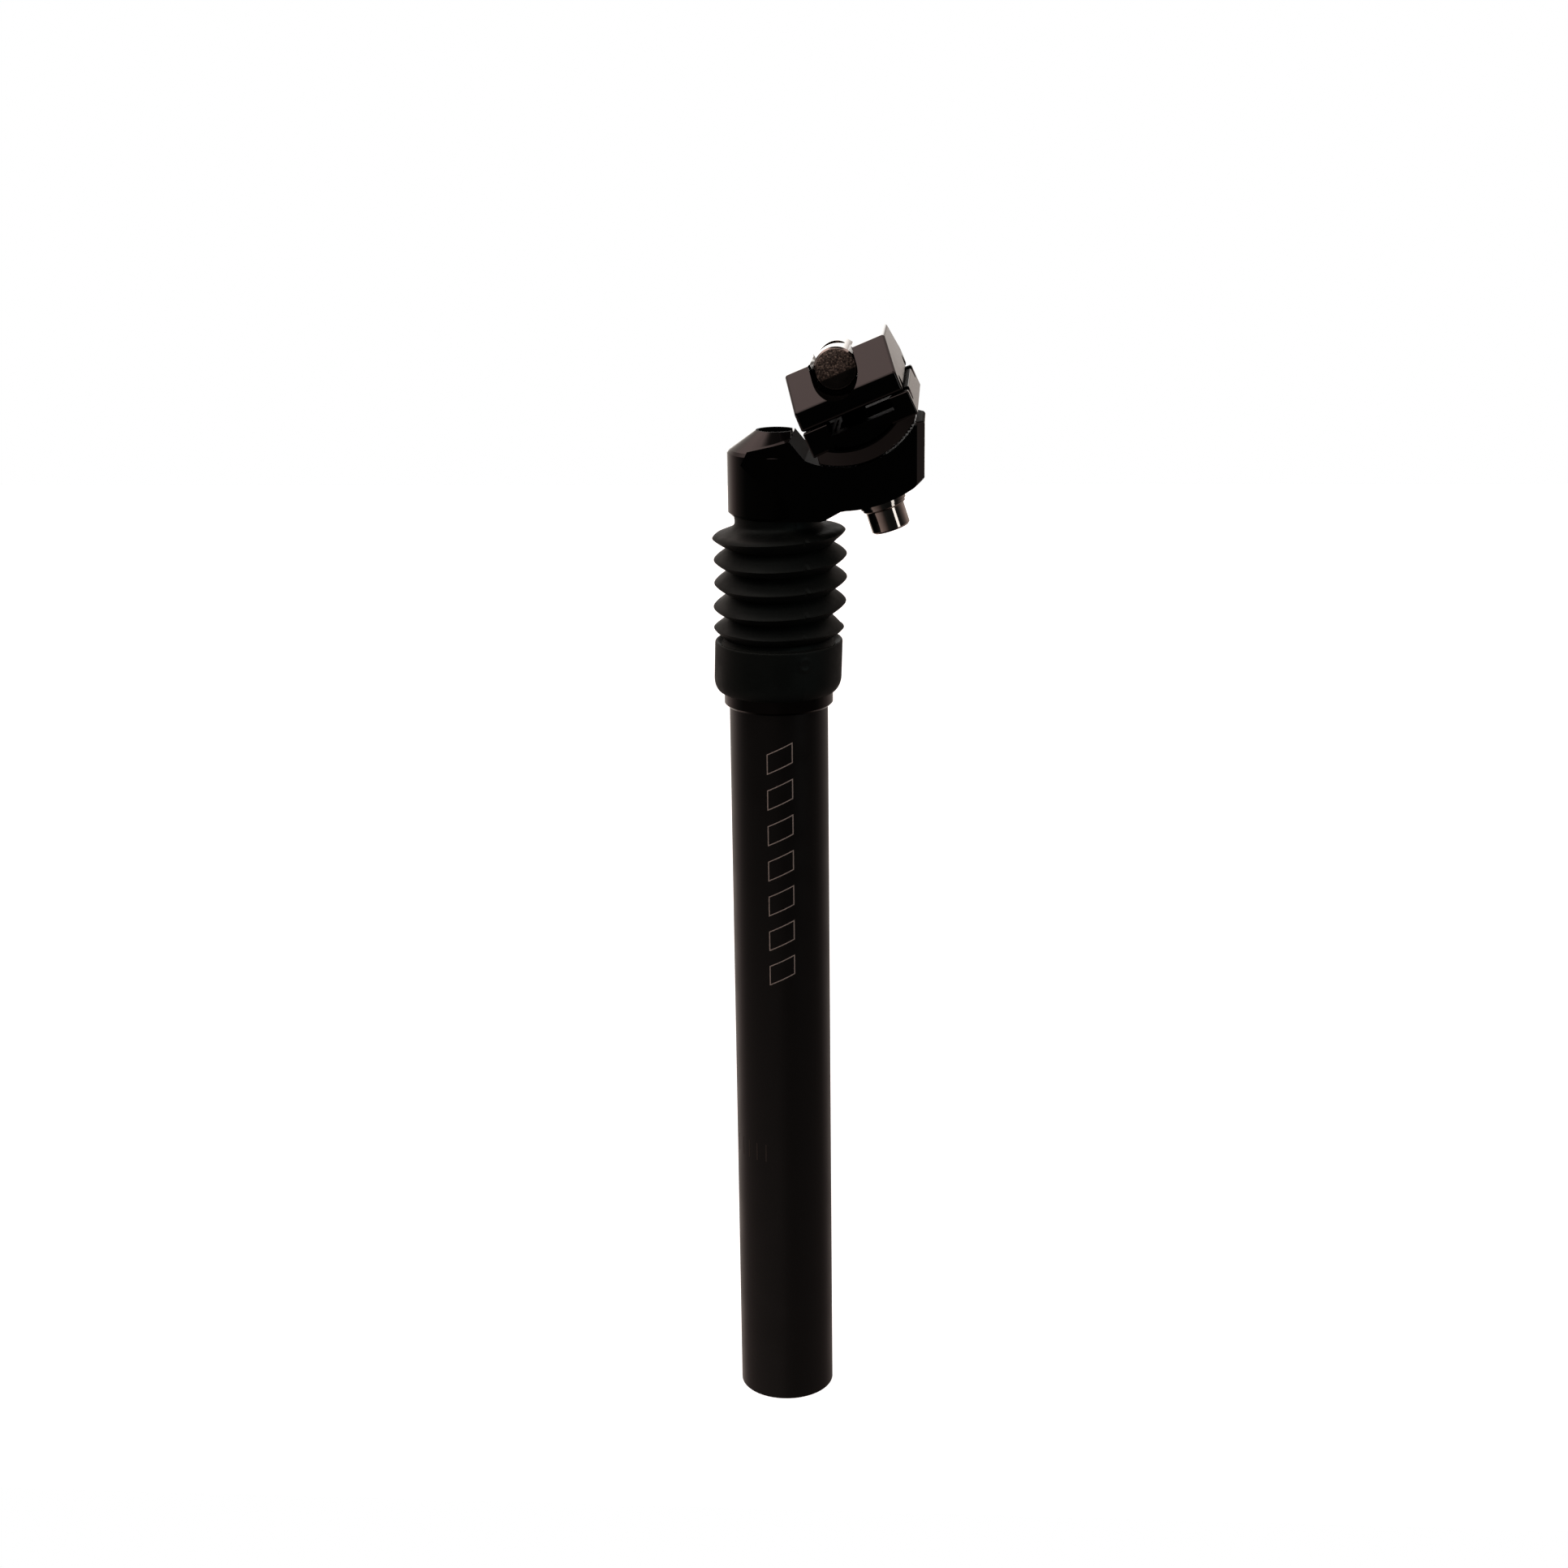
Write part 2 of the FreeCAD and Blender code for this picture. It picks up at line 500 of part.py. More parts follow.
cap_blank = padded("cap_blank", "side", (
    ("-clamp_half", "cap_bottom"), ("-clamp_half", "cap_side_top"), ("-cap_top_half", "cap_top"),
    ("cap_top_half", "cap_top"), ("clamp_half", "cap_side_top"), ("clamp_half", "cap_bottom")),
    "cap_rear - cap_front")
cap_blank.Placement.Base = FreeCAD.Vector(number("(cap_rear + cap_front) / 2"), 0, 0)
cap_body = eased("cap_body", cap_blank, "soft_edge", lambda middle: True)
nut_spot = bolt_up_in_clamp * number("nut_rise")
channel_round = cylinder("channel_round", "channel_radius", FAR * 2,
                         along(nut_spot.x, -FAR, nut_spot.z, ACROSS))
channel_open = block("channel_open", "channel_radius * 2", FAR * 2, 20,
                     (nut_spot.x - number("channel_radius"), -FAR, nut_spot.z))
mouths = []
for side, name in ((-1, "near"), (1, "far")):
    start = side * number("mouth_start")
    place = along(nut_spot.x, start, nut_spot.z, ACROSS * side)
    mouths.append(cylinder("mouth_round_" + name, "channel_mouth", "clamp_half", place))
    lowest_y = start if side > 0 else start - number("clamp_half")
    corner = (nut_spot.x - number("channel_mouth"), lowest_y, nut_spot.z)
    mouths.append(block("mouth_open_" + name, "channel_mouth * 2", "clamp_half", 20, corner))
cap_tools = [channel_round, channel_open, bolt_way("upper_bolt_way", "bolt_hole + 0.4")] + mouths
finish(less("upper_clamp", cap_body, cap_tools + rail_grooves("upper_groove")), clamp_place)

# --- cross nut, bolt and washers ---

nut_blank = turned("nut_blank", (
    (0, "-nut_half"), ("nut_radius * 0.6", "-nut_half + nut_dome * 0.3"),
    ("nut_radius - 0.5", "-nut_half + nut_dome"), ("nut_radius", "-nut_half + nut_dome + 0.6"),
    ("nut_radius", "nut_half - nut_dome - 0.6"), ("nut_radius - 0.5", "nut_half - nut_dome"),
    ("nut_radius * 0.6", "nut_half - nut_dome * 0.3"), (0, "nut_half")))
nut_middle = bolt_place.multVec(UP * number("nut_rise"))
nut_blank.Placement = along(nut_middle.x, 0, nut_middle.z, ACROSS)
nut_thread = cylinder("nut_thread", "bolt_radius + guide_gap", 40,
                      along(nut_middle.x - bolt_up.x * 20, 0, nut_middle.z - bolt_up.z * 20, bolt_up))
finish(less("barrel_nut", nut_blank, [nut_thread]))

bolt_blank = turned("bolt_blank", (
    (0, "-bolt_seat - bolt_head"), ("bolt_head_radius - 0.5", "-bolt_seat - bolt_head"),
    ("bolt_head_radius", "-bolt_seat - bolt_head + 0.5"), ("bolt_head_radius", "-bolt_seat - 0.3"),
    ("bolt_head_radius - 0.3", "-bolt_seat"), ("bolt_radius", "-bolt_seat"), ("bolt_radius", "nut_rise + 3.4"),
    ("bolt_radius - 0.8", "nut_rise + 4.2"), (0, "nut_rise + 4.2")))
bolt_hexagon = hexagon("bolt_hexagon", "bolt_socket", at(0, 0, "-bolt_seat - bolt_head"), 3.6)
finish(less("clamp_bolt", bolt_blank, [bolt_hexagon]), bolt_place)

curved_blank = turned("curved_blank", (
    ("bolt_hole", "-washer_top"), ("washer_radius", "-washer_top"), ("washer_radius", "-washer_top + 6"),
    ("bolt_hole", "-washer_top + 6")))
curved_seat = cylinder("curved_seat", "underside_radius + curved_gap", "washer_radius * 4",
                       along(0, "-washer_radius * 2", 0, ACROSS))
finish(less("curved_washer", curved_blank, [curved_seat]), bolt_place)

finish(turned("bolt_washer", (
    ("bolt_hole", "-bolt_seat + washer_play"), ("flat_washer_radius - 0.2", "-bolt_seat + washer_play"),
    ("flat_washer_radius", "-bolt_seat + 0.2"), ("flat_washer_radius", "-washer_top"),
    ("bolt_hole", "-washer_top"))), bolt_place)

# --- check and write ---

doc.recompute()
for thing in doc.Objects:
    if "Invalid" in thing.State or "Error" in thing.State:
        raise RuntimeError("failed object: %s %s" % (thing.Name, thing.State))

os.makedirs("parts", exist_ok=True)
for subpart in subparts:
    shape = subpart.Shape
    if shape.isNull() or not shape.isValid() or not shape.Solids:
        raise RuntimeError("bad shape: " + subpart.Label)
    shape.exportStep("parts/%s.step" % subpart.Label)
    box = shape.BoundBox
    spans = (box.XMin, box.XMax, box.YMin, box.YMax, box.ZMin, box.ZMax)
    print("%-20s solids %d volume %9.1f " % (subpart.Label, len(shape.Solids), shape.Volume)
          + "x %6.1f..%6.1f y %6.1f..%6.1f z %6.1f..%6.1f" % spans)
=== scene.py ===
import json
import math

import bmesh
import bpy
from mathutils import Matrix, Vector


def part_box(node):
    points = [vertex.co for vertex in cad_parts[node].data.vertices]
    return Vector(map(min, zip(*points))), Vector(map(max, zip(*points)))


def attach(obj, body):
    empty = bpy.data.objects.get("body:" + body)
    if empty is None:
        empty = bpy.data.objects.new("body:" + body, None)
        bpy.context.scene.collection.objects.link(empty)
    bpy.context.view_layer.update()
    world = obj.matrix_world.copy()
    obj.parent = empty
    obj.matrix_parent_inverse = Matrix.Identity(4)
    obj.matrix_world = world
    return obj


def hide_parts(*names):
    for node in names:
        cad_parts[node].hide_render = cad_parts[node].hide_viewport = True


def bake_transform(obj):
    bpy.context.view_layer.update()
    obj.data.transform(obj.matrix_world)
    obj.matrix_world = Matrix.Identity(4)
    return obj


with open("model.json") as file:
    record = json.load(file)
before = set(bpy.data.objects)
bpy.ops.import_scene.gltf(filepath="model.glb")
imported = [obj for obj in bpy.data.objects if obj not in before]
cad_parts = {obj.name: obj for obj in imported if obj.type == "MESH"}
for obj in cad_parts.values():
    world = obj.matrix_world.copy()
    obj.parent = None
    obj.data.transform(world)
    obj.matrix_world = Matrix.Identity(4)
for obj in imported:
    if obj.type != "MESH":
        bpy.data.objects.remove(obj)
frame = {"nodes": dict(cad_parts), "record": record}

# A suspension seatpost on a white table. Metres, +Z up the post, +X to its rear, the camera on the -Y side.

MM = 0.001
NODES = frame["nodes"]
SLOTS = {part["node"]: part["material_slot"] for part in frame["record"]["subparts"]}
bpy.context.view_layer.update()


def low(node):
    """The lowest corner of a CAD node."""
    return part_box(node)[0]


def high(node):
    """The highest corner of a CAD node."""
    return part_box(node)[1]


# --- camera, table and light ---

CAMERA_PLACE = Vector((45.82, -638.89, 377.46)) * MM
CAMERA_AZIMUTH = 4.0
CAMERA_PITCH = 16.657
CAMERA_ROLL = -0.706
CAMERA_LENS = 54.97


def add_camera():
    """The photographer's camera: a little to the rear of square on, looking down at the post."""
    data = bpy.data.cameras.new("camera")
    data.lens = CAMERA_LENS
    data.sensor_width = 36.0
    data.clip_start = 0.01
    camera = bpy.data.objects.new("camera", data)
    turn = Matrix.Rotation(math.radians(CAMERA_AZIMUTH), 4, "Z")
    nod = Matrix.Rotation(math.radians(90.0 - CAMERA_PITCH), 4, "X")
    roll = Matrix.Rotation(math.radians(CAMERA_ROLL), 4, "Z")
    camera.matrix_world = Matrix.Translation(CAMERA_PLACE) @ turn @ nod @ roll
    bpy.context.scene.collection.objects.link(camera)
    bpy.context.scene.camera = camera


class Nodes:
    """A shader tree with short calls for the nodes used here."""

    def __init__(self, tree):
        self.tree = tree
        tree.nodes.clear()

    def add(self, kind, **settings):
        node = self.tree.nodes.new(kind)
        for name, value in settings.items():
            setattr(node, name, value)
        return node

    def link(self, source, target):
        self.tree.links.new(source, target)

    def noise(self, where, scale, detail=2.0, rough=0.5):
        """The value of a noise at a size: scale is in spots per metre."""
        node = self.add("ShaderNodeTexNoise")
        node.inputs["Scale"].default_value = scale
        node.inputs["Detail"].default_value = detail
        node.inputs["Roughness"].default_value = rough
        self.link(where, node.inputs["Vector"])
        return node.outputs["Fac"]

    def ramp(self, value, stops):
        """A colour ramp from (position, colour) stops."""
        node = self.add("ShaderNodeValToRGB")
        ramp = node.color_ramp
        while len(ramp.elements) < len(stops):
            ramp.elements.new(0.5)
        for element, (position, colour) in zip(ramp.elements, stops):
            element.position = position
            element.color = (*colour, 1.0)
        self.link(value, node.inputs["Fac"])
        return node.outputs["Color"]

    def math(self, operation, first, second):
        """One step of arithmetic on two values, either of which may be a plain number."""
        node = self.add("ShaderNodeMath", operation=operation)
        for socket, value in zip(node.inputs, (first, second)):
            if isinstance(value, float):
                socket.default_value = value
            else:
                self.link(value, socket)
        return node.outputs["Value"]

    def along(self, vector, axis):
        """How far a vector reaches along an axis."""
        node = self.add("ShaderNodeVectorMath", operation="DOT_PRODUCT")
        self.link(vector, node.inputs[0])
        node.inputs[1].default_value = axis
        return node.outputs["Value"]

    def span(self, value, start, end, to_start=0.0, to_end=1.0):
        """A value carried smoothly from one span to another."""
        node = self.add("ShaderNodeMapRange", interpolation_type="SMOOTHSTEP")
        limits = {"From Min": start, "From Max": end, "To Min": to_start, "To Max": to_end}
        for name, number in limits.items():
            node.inputs[name].default_value = number
        self.link(value, node.inputs["Value"])
        return node.outputs["Result"]

    def blend(self, share, first, second, kind="MIX"):
        """Two colours mixed by a share; each is a socket or a plain colour."""
        node = self.add("ShaderNodeMix", data_type="RGBA", blend_type=kind)
        for socket, value in ((node.inputs[0], share), (node.inputs[6], first), (node.inputs[7], second)):
            if isinstance(value, (float, int)):
                socket.default_value = value
            elif isinstance(value, tuple):
                socket.default_value = (*value, 1.0)
            else:
                self.link(value, socket)
        return node.outputs[2]


# How bright the room is from the camera's side round to the far side, as (place, colour) along Y.
ROOM = (
    (0.00, (0.012, 0.012, 0.011)), (0.36, (0.022, 0.021, 0.019)), (0.50, (0.085, 0.070, 0.064)),
    (0.62, (0.19, 0.145, 0.132)), (0.72, (0.36, 0.27, 0.25)), (0.82, (0.52, 0.42, 0.38)),
    (0.96, (0.62, 0.55, 0.50)), (0.985, (1.62, 1.54, 1.48)), (1.00, (2.05, 1.98, 1.92)))
CEILING = (1.17, 0.87, 0.81)
FLOOR = (0.27, 0.20, 0.18)
ZENITH = (0.07, 0.06, 0.055)


def add_room():
    """A dark room on the camera's side, pale behind the post and overhead; the backdrop itself is white."""
    world = bpy.data.worlds.new("room")
    bpy.context.scene.world = world
    world.use_nodes = True
    n = Nodes(world.node_tree)
    direction = n.add("ShaderNodeTexCoord").outputs["Generated"]
    parts = n.add("ShaderNodeSeparateXYZ")
    n.link(direction, parts.inputs["Vector"])
    depth = n.math("ADD", n.math("MULTIPLY", parts.outputs["Y"], 0.5), 0.5)
    window_end = n.span(parts.outputs["X"], 0.02, 0.12, 0.0, 0.045)
    level = n.ramp(n.math("SUBTRACT", depth, window_end), ROOM)
    around = n.blend(n.span(parts.outputs["Z"], -0.45, -0.75), level, (0.0, 0.0, 0.0))
    overhead = n.span(parts.outputs["Z"], 0.42, 0.80)
    down = n.math("MULTIPLY", n.span(parts.outputs["Z"], -0.15, -0.55),
                  n.span(parts.outputs["Z"], -0.92, -0.70))
    below = n.blend(down, (0.0, 0.0, 0.0), FLOOR)
    ceiling = n.blend(n.span(parts.outputs["Z"], 0.88, 0.97), CEILING, ZENITH)
    even = n.blend(overhead, n.blend(1.0, around, below, "LIGHTEN"), ceiling)
    shade = n.span(parts.outputs["X"], -0.20, 0.28, 0.0, 0.45)
    light = n.blend(shade, even, (0.0, 0.0, 0.0))
    seen = n.add("ShaderNodeLightPath").outputs["Is Camera Ray"]
    room = n.add("ShaderNodeBackground")
    backdrop = n.add("ShaderNodeBackground")
    backdrop.inputs["Color"].default_value = (1.0, 1.0, 1.0, 1.0)
    n.link(light, room.inputs["Color"])
    mixed = n.add("ShaderNodeMixShader")
    n.link(seen, mixed.inputs[0])
    n.link(room.outputs[0], mixed.inputs[1])
    n.link(backdrop.outputs[0], mixed.inputs[2])
    output = n.add("ShaderNodeOutputWorld")
    n.link(mixed.outputs[0], output.inputs["Surface"])


def add_softbox(name, place, aim, width, height, power, colour):
    """An area light aimed at a point."""
    data = bpy.data.lights.new(name, "AREA")
    data.shape = "RECTANGLE"
    data.size = width
    data.size_y = height
    data.energy = power
    data.color = colour
    lamp = bpy.data.objects.new(name, data)
    lamp.location = place
    lamp.rotation_mode = "QUATERNION"
    lamp.rotation_quaternion = (Vector(aim) - Vector(place)).to_track_quat("-Z", "Y")
    bpy.context.scene.collection.objects.link(lamp)


def add_table():
    """A pale table top that ends just in front of the post and stays out of the post's reflections."""
    front, back, side = -0.07, 1.6, 1.3
    mesh = bpy.data.meshes.new("table_top")
    corners = [(-side, front, 0), (side, front, 0), (side, back, 0), (-side, back, 0)]
    mesh.from_pydata(corners, [], [(0, 1, 2, 3)])
    table = bpy.data.objects.new("table_top", mesh)
    bpy.context.scene.collection.objects.link(table)
    material = bpy.data.materials.new("pale_table")
    material.use_nodes = True
    shader = material.node_tree.nodes["Principled BSDF"]
    shader.inputs["Base Color"].default_value = (0.93, 0.93, 0.92, 1.0)
    shader.inputs["Roughness"].default_value = 0.8
    shader.inputs["Emission Color"].default_value = (1.0, 1.0, 1.0, 1.0)
    shader.inputs["Emission Strength"].default_value = 0.95
    mesh.materials.append(material)
    table.visible_glossy = False
    table.visible_diffuse = False


# --- materials, one for each slot of the record ---

def surface(name, roughness, metallic=0.0, specular=0.5):
    """A new material: its node tree, its shader and the place to read patterns from."""
    material = bpy.data.materials.new(name)
    material.use_nodes = True
    n = Nodes(material.node_tree)
    shader = n.add("ShaderNodeBsdfPrincipled")
    shader.inputs["Roughness"].default_value = roughness
    shader.inputs["Metallic"].default_value = metallic
    shader.inputs["Specular IOR Level"].default_value = specular
    output = n.add("ShaderNodeOutputMaterial")
    n.link(shader.outputs[0], output.inputs["Surface"])
    where = n.add("ShaderNodeTexCoord").outputs["Object"]
    return material, n, shader, where


def bump(n, shader, height, distance, strength=1.0):
    """Relief from a height, up to distance metres."""
    node = n.add("ShaderNodeBump")
    node.inputs["Strength"].default_value = strength
    node.inputs["Distance"].default_value = distance
    n.link(height, node.inputs["Height"])
    n.link(node.outputs["Normal"], shader.inputs["Normal"])


def satin_black_tube():
    """Black anodising over a bead-blasted tube: a fine pale grain, silkier in broad patches."""
    material, n, shader, where = surface("satin_black_tube", 0.33)
    grain = n.noise(where, 2600.0, 3.0, 0.7)
    patches = n.noise(where, 90.0, 2.0)
    colour = n.ramp(grain, ((0.38, (0.0008, 0.0009, 0.0008)), (0.60, (0.0018, 0.0019, 0.0018)),
                            (0.78, (0.015, 0.0140, 0.0125))))
    n.link(colour, shader.inputs["Base Color"])
    shader.inputs["Specular Tint"].default_value = (0.90, 0.98, 1.0, 1.0)
    n.link(n.span(patches, 0.3, 0.7, 0.30, 0.36), shader.inputs["Roughness"])
    bump(n, shader, grain, 0.012 * MM, 0.6)
    return material


def gloss_black_alloy(name="gloss_black_alloy", seat=None, reach=0.0, hole=0.0):
    """Black anodising over a polished forging.

    Faces that point along seat are dull where X is past reach: painted shade that takes away nearly all
    their reflection.
    So is all that is within hole of the Z axis.
    """
    material, n, shader, where = surface(name, 0.08)
    waves = n.noise(where, 160.0, 2.0)
    dust = n.noise(where, 2100.0, 3.0, 0.7)
    colour = n.ramp(dust, ((0.50, (0.0004, 0.0004, 0.0003)), (0.80, (0.0016, 0.0015, 0.0013))))
    n.link(colour, shader.inputs["Base Color"])
    polish = n.span(waves, 0.3, 0.7, 0.06, 0.11)
    bump(n, shader, waves, 0.02 * MM, 0.5)
    if seat is None:
        n.link(polish, shader.inputs["Roughness"])
        return material
    facing = n.along(n.add("ShaderNodeNewGeometry").outputs["Normal"], seat)
    parts = n.add("ShaderNodeSeparateXYZ")
    n.link(where, parts.inputs["Vector"])
    behind = n.span(parts.outputs["X"], reach - 0.2 * MM, reach)
    # Painted shade: faces made dull here lose nearly all their reflection.
    painted_shade_dull = n.math("MULTIPLY", n.span(facing, 0.78, 0.86), behind)
    x_squared = n.math("POWER", parts.outputs["X"], 2.0)
    y_squared = n.math("POWER", parts.outputs["Y"], 2.0)
    radius = n.math("SQRT", n.math("ADD", x_squared, y_squared), 0.0)
    painted_shade_dull = n.math("MAXIMUM", painted_shade_dull, n.span(radius, hole + 0.1 * MM, hole))
    n.link(n.math("MAXIMUM", polish, n.math("MULTIPLY", painted_shade_dull, 0.5)), shader.inputs["Roughness"])
    n.link(n.span(painted_shade_dull, 0.0, 1.0, 0.5, 0.018), shader.inputs["Specular IOR Level"])
    return material


def boot_rubber():
    """Moulded black rubber: dull, slightly green-grey, with a fine eggshell skin and pale handling marks."""
    material, n, shader, where = surface("boot_rubber", 0.55, specular=0.30)
    skin = n.noise(where, 1500.0, 3.0, 0.6)
    marks = n.noise(where, 120.0, 3.0, 0.6)
    shade = n.ramp(marks, ((0.35, (0.0020, 0.0028, 0.0025)), (0.75, (0.0042, 0.0054, 0.0050))))
    colour = n.blend(n.span(skin, 0.55, 0.85, 0.0, 0.5), shade, (0.008, 0.010, 0.009))
    n.link(colour, shader.inputs["Base Color"])
    shader.inputs["Specular Tint"].default_value = (0.74, 1.0, 0.99, 1.0)
    n.link(n.span(marks, 0.3, 0.7, 0.48, 0.62), shader.inputs["Roughness"])
    bump(n, shader, skin, 0.03 * MM, 0.5)
    return material


def plain_rubber(name, dark, pale, roughness):
    """A smooth elastomer with faint flow streaks."""
    material, n, shader, where = surface(name, roughness)
    streaks = n.noise(where, 300.0, 3.0, 0.6)
    n.link(n.ramp(streaks, ((0.35, dark), (0.7, pale))), shader.inputs["Base Color"])
    n.link(n.span(streaks, 0.3, 0.7, roughness - 0.06, roughness + 0.06), shader.inputs["Roughness"])
    bump(n, shader, streaks, 0.03 * MM, 0.4)
    return material


def worked_metal(name, dark, pale, roughness, lines):
    """Bare metal with turning or drawing lines round Z, lines per metre."""
    material, n, shader, where = surface(name, roughness, metallic=1.0)
    stretch = n.add("ShaderNodeMapping")
    stretch.inputs["Scale"].default_value = (0.04, 0.04, 1.0)
    n.link(where, stretch.inputs["Vector"])
    turning = n.noise(stretch.outputs["Vector"], lines, 3.0, 0.6)
    stains = n.noise(where, 180.0, 2.0)
    colour = n.blend(n.span(stains, 0.3, 0.7, 0.0, 0.35), n.ramp(turning, ((0.3, dark), (0.7, pale))), dark)
    n.link(colour, shader.inputs["Base Color"])
    n.link(n.span(turning, 0.3, 0.7, roughness - 0.05, roughness + 0.07), shader.inputs["Roughness"])
    bump(n, shader, turning, 0.02 * MM, 0.5)
    return material


def chrome_steel():
    """Plated steel, with a faint ripple under the plating."""
    material, n, shader, where = surface("chrome_steel", 0.07, metallic=1.0)
    ripple = n.noise(where, 420.0, 2.0)
    plated = n.ramp(ripple, ((0.3, (0.50, 0.47, 0.44)), (0.7, (0.60, 0.57, 0.54))))
    n.link(plated, shader.inputs["Base Color"])
    n.link(n.span(ripple, 0.3, 0.7, 0.05, 0.11), shader.inputs["Roughness"])
    bump(n, shader, ripple, 0.015 * MM, 0.5)
    return material


BOLT_AXIS = (-0.309, 0.0, 0.951)
BOLT_SEAT = 242.2 * MM
SHANK_START = BOLT_SEAT + 0.2 * MM
THREAD_PITCH = 1.0 * MM


def bolt_steel():
    """Plated on the bolt's head; its threaded shank, which starts above the seat, is rough and painted dark
    as shade.
    """
    material, n, shader, where = surface("bolt_steel", 0.07, metallic=1.0)
    place = n.along(where, BOLT_AXIS)
    painted_shade_shank = n.span(place, BOLT_SEAT, SHANK_START)
    ripple = n.noise(where, 420.0, 2.0)
    plated = n.ramp(ripple, ((0.3, (0.68, 0.64, 0.60)), (0.7, (0.80, 0.76, 0.72))))
    # The dark colour along the shank is painted shade.
    n.link(n.blend(painted_shade_shank, plated, (0.018, 0.016, 0.014)), shader.inputs["Base Color"])
    n.link(n.span(place, BOLT_SEAT, SHANK_START, 0.06, 0.50), shader.inputs["Roughness"])
    thread = n.math("SINE", n.math("MULTIPLY", place, 2.0 * math.pi / THREAD_PITCH), 0.0)
    bump(n, shader, n.math("MULTIPLY", thread, painted_shade_shank), 0.10 * MM, 0.6)
    return material


CLAMP_DOWN = (0.386, 0.0, -0.923)
# Where the painted shade on the nut's ends starts, measured along CLAMP_DOWN.
SHADE_LINE_START = -271.3 * MM
SHADE_LINE_END = SHADE_LINE_START + 0.5 * MM
FORGED_START = high("barrel_nut").y - 0.60 * MM
FORGED_END = high("barrel_nut").y - 0.45 * MM


def cross_nut_steel():
    """Plated round the nut; its ends are rough and speckled, with painted shade darkening them below a line
    along the clamp.
    """
    material, n, shader, where = surface("cross_nut_steel", 0.1, metallic=1.0)
    parts = n.add("ShaderNodeSeparateXYZ")
    n.link(where, parts.inputs["Vector"])
    out = n.math("ABSOLUTE", parts.outputs["Y"], 0.0)
    forged = n.span(out, FORGED_START, FORGED_END)
    scale = n.noise(where, 2300.0, 4.0, 0.7)
    forged_skin_and_shade = n.ramp(scale, ((0.42, (0.045, 0.040, 0.036)), (0.54, (0.20, 0.175, 0.150)),
                                (0.66, (0.80, 0.70, 0.58))))
    # Painted shade: the nut's ends are darkened below a line along the clamp.
    smooth = n.span(n.along(where, CLAMP_DOWN), SHADE_LINE_START, SHADE_LINE_END)
    forged_skin_and_shade = n.blend(smooth, forged_skin_and_shade, (0.020, 0.021, 0.019))
    n.link(n.blend(forged, (0.50, 0.48, 0.45), forged_skin_and_shade), shader.inputs["Base Color"])
    n.link(n.math("SUBTRACT", 1.0, forged), shader.inputs["Metallic"])
    n.link(n.span(out, FORGED_START, FORGED_END, 0.09, 0.30), shader.inputs["Roughness"])
    bump(n, shader, n.math("MULTIPLY", scale, forged), 0.12 * MM, 0.8)
    return material


def etched_silver(name, dark, pale):
    """Bare aluminium where the black has been burnt off by a marking laser."""
    material, n, shader, where = surface(name, 0.5, metallic=0.2)
    spots = n.noise(where, 5200.0, 2.0)
    n.link(n.ramp(spots, ((0.3, dark), (0.7, pale))), shader.inputs["Base Color"])
    return material


def slot_materials():
    """Slot name to material."""
    return {
        "satin_black_tube": satin_black_tube(),
        "gloss_black_alloy": gloss_black_alloy(),
        "boot_rubber": boot_rubber(),
        "seal_rubber": plain_rubber("seal_rubber", (0.010, 0.010, 0.009), (0.020, 0.019, 0.018), 0.35),
        "elastomer": plain_rubber("elastomer", (0.40, 0.19, 0.030), (0.62, 0.33, 0.07), 0.38),
        "guide_plastic": plain_rubber("guide_plastic", (0.62, 0.60, 0.54), (0.74, 0.72, 0.66), 0.45),
        "anodised_shaft": worked_metal(
            "anodised_shaft", (0.020, 0.020, 0.021), (0.045, 0.044, 0.044), 0.22, 6000.0),
        "bare_aluminium": worked_metal(
            "bare_aluminium", (0.42, 0.42, 0.43), (0.66, 0.66, 0.67), 0.30, 5000.0),
        "spring_steel": worked_metal("spring_steel", (0.16, 0.155, 0.15), (0.34, 0.33, 0.32), 0.32, 2500.0),
        "pin_steel": worked_metal("pin_steel", (0.42, 0.41, 0.40), (0.62, 0.61, 0.60), 0.20, 5000.0),
        "chrome_steel": chrome_steel(),
    }


# --- shapes made here ---

def add_mesh(name, points, faces, material, smooth_angle=40.0):
    """A mesh object, smooth apart from its sharp edges."""
    mesh = bpy.data.meshes.new(name)
    mesh.from_pydata(points, [], faces)
    mesh.materials.append(material)
    for polygon in mesh.polygons:
        polygon.use_smooth = True
    shape = bmesh.new()
    shape.from_mesh(mesh)
    bmesh.ops.recalc_face_normals(shape, faces=shape.faces)
    for edge in shape.edges:
        edge.smooth = len(edge.link_faces) == 2 and edge.calc_face_angle(0.0) < math.radians(smooth_angle)
    shape.to_mesh(mesh)
    shape.free()
    thing = bpy.data.objects.new(name, mesh)
    bpy.context.scene.collection.objects.link(thing)
    return thing


def lathe(name, profile, segments, material, place):
    """A profile of (radius, height) turned round Z; place gives each point from radius, height and turn."""
    points = []
    for radius, height in profile:
        for step in range(segments):
            points.append(place(radius, height, 2.0 * math.pi * step / segments))
    faces = []
    for row in range(len(profile)):
        following = (row + 1) % len(profile)
        for step in range(segments):
            beside = (step + 1) % segments
            faces.append((row * segments + step, row * segments + beside,
                          following * segments + beside, following * segments + step))
    return add_mesh(name, points, faces, material)


